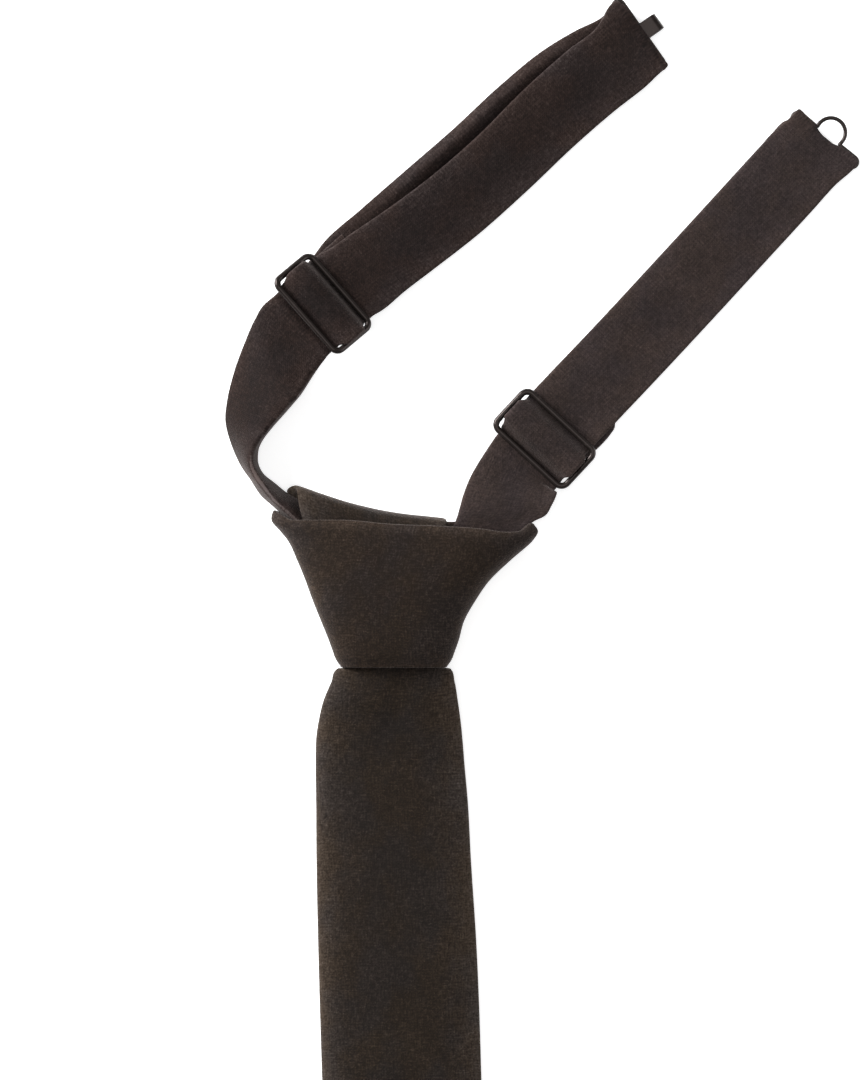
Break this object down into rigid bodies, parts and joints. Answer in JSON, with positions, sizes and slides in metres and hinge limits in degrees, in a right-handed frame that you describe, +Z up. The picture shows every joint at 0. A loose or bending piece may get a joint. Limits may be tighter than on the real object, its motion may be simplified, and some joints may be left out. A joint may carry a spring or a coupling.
{
  "type": "pre-tied necktie on an adjustable neck band",
  "caption": "Slim black necktie with a sewn knot, on a neck band of two straps with wire sliders that closes with a hook and an eye.",
  "frame": {"origin": "middle of the underside of the whole part's box, on the surface that the tie lies on", "axes": "+Y from the point of the blade to the ends of the neck band, +Z up out of the surface, front of the knot upwards"},
  "size_m": [0.1582, 0.6078, 0.0158],
  "materials": {
    "cloth": "matte fine-woven black cloth",
    "metal": "smooth black paint, satin gloss"
  },
  "bodies": {
    "root": {"blade": "cloth", "knot_wrap": "cloth", "strap_left": "cloth", "strap_right": "cloth", "slider_left": "metal", "slider_right": "metal", "hook": "metal", "eye": "metal"}
  },
  "joints": []
}
